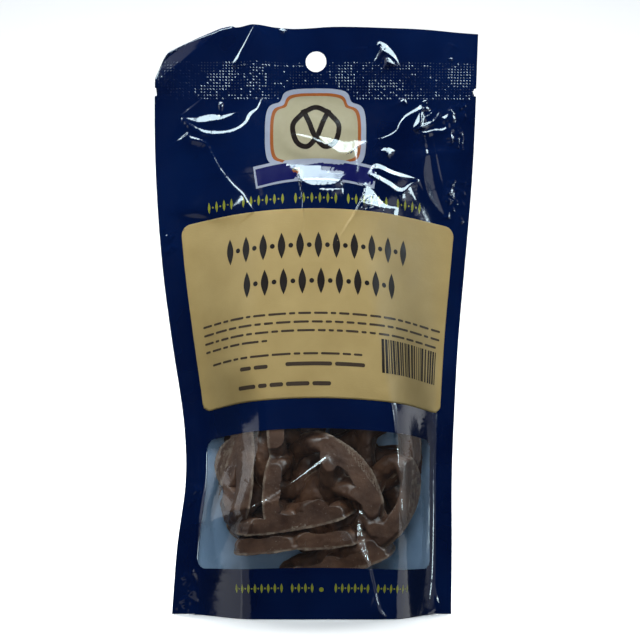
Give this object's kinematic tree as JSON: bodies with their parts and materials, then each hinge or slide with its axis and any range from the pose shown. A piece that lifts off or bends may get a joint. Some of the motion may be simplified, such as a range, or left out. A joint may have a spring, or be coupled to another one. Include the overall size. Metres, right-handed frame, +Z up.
{
  "type": "pouch of chocolate covered pretzels",
  "caption": "Upright flat-topped film pouch with side seals, a hang hole, tear notches, a paper label and a clear window with chocolate covered pretzels behind it.",
  "frame": {"origin": "on the ground under the middle of the pouch, where the opened bottom gusset stands", "axes": "+Z up to the header and its hang hole, front with the label and the window faces -Y, +X to the right as seen from the front"},
  "size_m": [0.1261, 0.0456, 0.2299],
  "materials": {
    "film": "glossy dark blue printed film",
    "clear_film": "clear glossy film",
    "label_paper": "tan satin paper with dark brown bars",
    "chocolate": "dull dark chocolate with pale bloom"
  },
  "bodies": {
    "root": {"pouch": "film", "window_film": "clear_film", "label": "label_paper", "pretzel_heap": "chocolate"}
  },
  "joints": []
}
